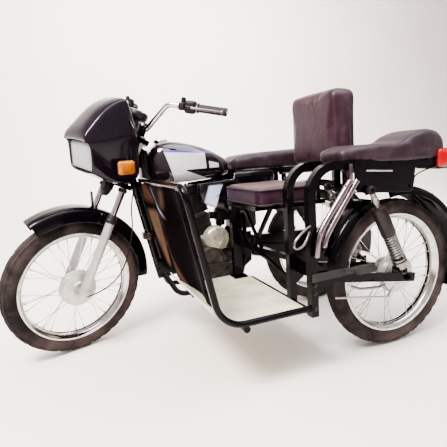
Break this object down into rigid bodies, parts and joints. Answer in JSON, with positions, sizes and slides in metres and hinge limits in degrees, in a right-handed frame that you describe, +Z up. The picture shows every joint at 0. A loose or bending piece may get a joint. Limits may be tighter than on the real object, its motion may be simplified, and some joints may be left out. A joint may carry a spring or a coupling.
{
  "type": "motorcycle with side carriage",
  "caption": "Small commuter motorcycle with a side carriage on its left: long seat, cushion with backrest, footboard and leg shield over a third wheel.",
  "frame": {"origin": "middle of the bounding box's footprint, on the ground", "axes": "+X forward, +Y to the rider's left (the side carriage), +Z up"},
  "size_m": [1.8702, 1.1333, 1.1008],
  "materials": {
    "tyre_rubber": "matt moulded rubber",
    "bright_rim": "plated rim and spokes",
    "cast_alloy": "bead-blasted casting",
    "dark_alloy": "sooty fins",
    "chrome": "polished plate",
    "black_enamel": "gloss, lightly dusty",
    "silver_paint": "gloss",
    "black_plastic": "grained",
    "gloss_moulding": "gloss",
    "clear_lens": "fluted lens",
    "amber_lens": "amber",
    "red_lens": "red",
    "grip_rubber": "ribbed",
    "seat_vinyl": "worn vinyl",
    "cushion_vinyl": "brown vinyl",
    "cream_board": "worn cream paint"
  },
  "bodies": {
    "chassis": {"brake_plates": "cast_alloy", "bike_frame": "black_enamel", "engine_block": "cast_alloy", "engine_cylinder": "dark_alloy", "intake": "black_plastic", "exhaust": "chrome", "fuel_tank": "silver_paint", "bike_seat": "seat_vinyl", "side_panels": "gloss_moulding", "bike_rear_guard": "black_enamel", "bike_swingarm": "black_enamel", "chain_case": "black_enamel", "shock_absorbers": "chrome", "foot_controls": "grip_rubber", "carriage_frame": "black_enamel", "cushion_stand": "black_enamel", "side_cushion": "cushion_vinyl", "side_backrest": "cushion_vinyl", "footboard": "cream_board", "leg_shield": "black_enamel", "carriage_seat": "seat_vinyl", "carriage_cover": "gloss_moulding", "carriage_guard": "black_enamel", "carriage_swingarm": "black_enamel", "tail_lamps": "red_lens", "chrome_stays": "chrome"},
    "steering": {"fork_sliders": "cast_alloy", "fork_tubes": "chrome", "fork_clamps": "black_enamel", "handlebar": "chrome", "hand_grips": "grip_rubber", "hand_controls": "black_plastic", "cowl": "gloss_moulding", "headlamp": "clear_lens", "front_indicators": "amber_lens", "instrument": "black_plastic", "front_guard": "black_enamel", "speedo_cable": "grip_rubber", "front_brake_plate": "cast_alloy"},
    "front_roller": {"front_tyre": "tyre_rubber", "front_wheel": "bright_rim"},
    "rear_roller": {"rear_tyre": "tyre_rubber", "rear_wheel": "bright_rim"},
    "side_roller": {"side_tyre": "tyre_rubber", "side_wheel": "bright_rim"}
  },
  "joints": [
    {"name": "steer", "type": "hinge", "parent": "chassis", "child": "steering", "pos_m": [0.74188, -0.17633, 0.00047], "axis": [-0.4462, 0, 0.8949], "range_deg": [-50, 10]},
    {"name": "front_spin", "type": "hinge", "parent": "steering", "child": "front_roller", "pos_m": [0.64717, -0.15917, 0.29612], "axis": [-0.3061, 0.9397, -0.1526], "continuous": true},
    {"name": "rear_spin", "type": "hinge", "parent": "chassis", "child": "rear_roller", "pos_m": [-0.58512, -0.17633, 0.29747], "axis": [0, 1, 0], "continuous": true},
    {"name": "side_spin", "type": "hinge", "parent": "chassis", "child": "side_roller", "pos_m": [-0.53512, 0.41567, 0.29747], "axis": [0, 1, 0], "continuous": true}
  ]
}
